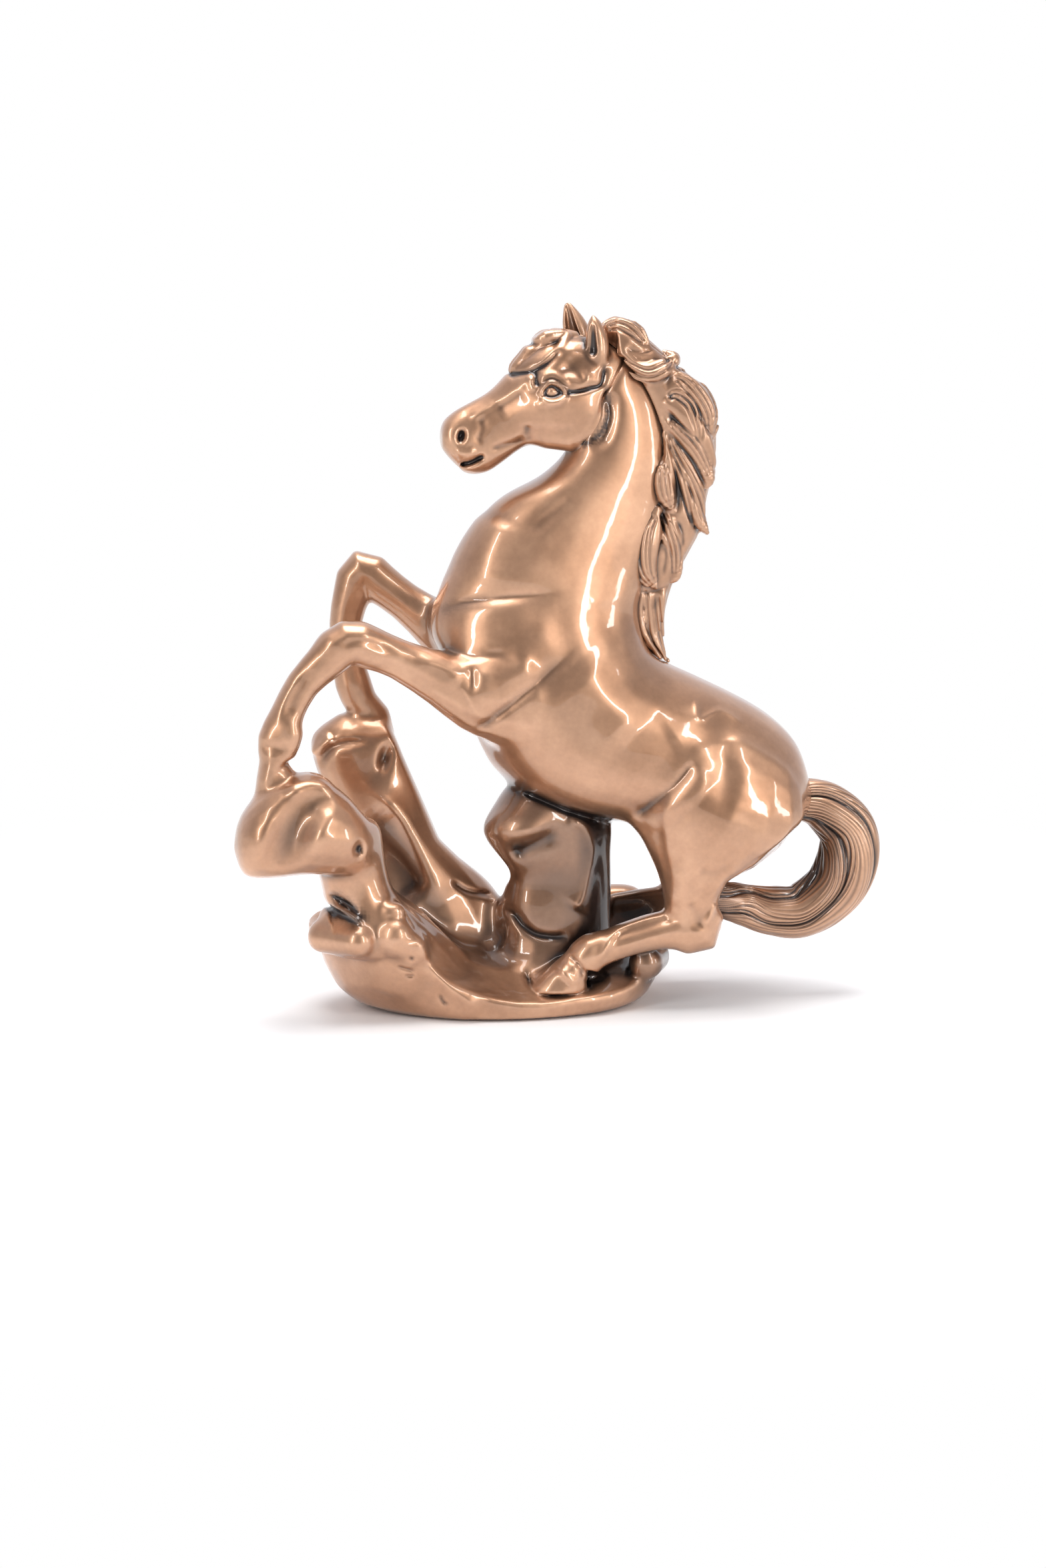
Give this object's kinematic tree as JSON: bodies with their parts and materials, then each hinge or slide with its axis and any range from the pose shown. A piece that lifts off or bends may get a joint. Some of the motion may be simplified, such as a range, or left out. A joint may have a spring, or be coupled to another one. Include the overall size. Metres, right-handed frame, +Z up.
{
  "type": "rearing horse figurine",
  "caption": "Rearing horse ornament on a rock-and-wave base, a doweled and glued bronze-finish resin casting that stands on a felt underside.",
  "frame": {"origin": "middle of the felt's underside, on the surface the ornament stands on", "axes": "+Z up; the horse faces -X; its left side, the near side in the picture, is at -Y"},
  "size_m": [0.1363, 0.0464, 0.145],
  "materials": {
    "bronze_resin": "bronze paint with a dark wash under gloss lacquer",
    "bronze_hair": "bronze paint with a heavy dark wash under gloss lacquer",
    "dowel_steel": "plain drawn rod",
    "felt": "dark green felt"
  },
  "bodies": {
    "root": {"plinth": "bronze_resin", "support_rock": "bronze_resin", "near_wave": "bronze_resin", "far_wave": "bronze_resin", "torso": "bronze_resin", "neck": "bronze_resin", "head": "bronze_resin", "near_foreleg": "bronze_resin", "far_foreleg": "bronze_resin", "near_hind_leg": "bronze_resin", "far_hind_leg": "bronze_resin", "near_ear": "bronze_resin", "far_ear": "bronze_resin", "forelock": "bronze_hair", "mane": "bronze_hair", "tail": "bronze_hair", "neck_dowel": "dowel_steel", "head_dowel": "dowel_steel", "foreleg_dowels": "dowel_steel", "hind_leg_dowels": "dowel_steel", "tail_dowel": "dowel_steel", "mane_dowels": "dowel_steel", "hoof_dowels": "dowel_steel", "wave_dowels": "dowel_steel", "rock_dowels": "dowel_steel", "base_felt": "felt"}
  },
  "joints": []
}
